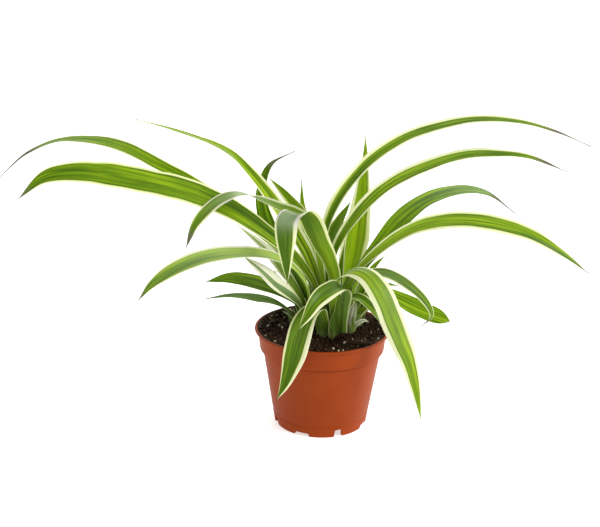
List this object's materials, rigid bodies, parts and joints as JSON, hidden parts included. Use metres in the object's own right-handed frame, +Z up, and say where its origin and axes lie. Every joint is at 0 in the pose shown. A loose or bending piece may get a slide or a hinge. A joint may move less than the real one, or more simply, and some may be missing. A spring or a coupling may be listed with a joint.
{
  "type": "potted spider plant",
  "caption": "Spider plant with arching green leaves edged in cream, growing in soil in a round terracotta-coloured plastic nursery pot with a notched foot.",
  "frame": {"origin": "on the ground under the middle of the pot, within a millimetre of the low pad in the middle of its floor", "axes": "+Z up, -Y towards the front of the plant, where one leaf droops over the lip"},
  "size_m": [0.5318, 0.2234, 0.2775],
  "materials": {
    "pot_plastic": "injection moulded, satin",
    "soil": "loose damp peat with perlite",
    "crown": "fleshy, matt",
    "leaf": "waxy, satin, green with cream edges"
  },
  "bodies": {
    "root": {"pot": "pot_plastic", "soil": "soil", "crown": "crown", "leaf_left_high": "leaf", "leaf_left_broad": "leaf", "leaf_left_tall": "leaf", "leaf_back_left_curled": "leaf", "leaf_back_left": "leaf", "leaf_back_thin": "leaf", "leaf_left_arched": "leaf", "leaf_front_folded": "leaf", "leaf_left_low": "leaf", "leaf_left_lower": "leaf", "leaf_left_lowest": "leaf", "leaf_left_pale": "leaf", "leaf_left_striped": "leaf", "leaf_front_small": "leaf", "leaf_front_drooping": "leaf", "leaf_right_drooping": "leaf", "leaf_right_short": "leaf", "leaf_right_blunt": "leaf", "leaf_right_highest": "leaf", "leaf_right_high": "leaf", "leaf_right_dark": "leaf", "leaf_right_long": "leaf", "leaf_back_broad": "leaf", "leaf_back_middle": "leaf", "leaf_back_sliver": "leaf", "leaf_right_stub": "leaf", "leaf_right_tip": "leaf", "leaf_right_inner": "leaf", "leaf_rear_1": "leaf", "leaf_rear_2": "leaf", "leaf_rear_3": "leaf", "leaf_rear_4": "leaf", "leaf_rear_5": "leaf"}
  },
  "joints": []
}
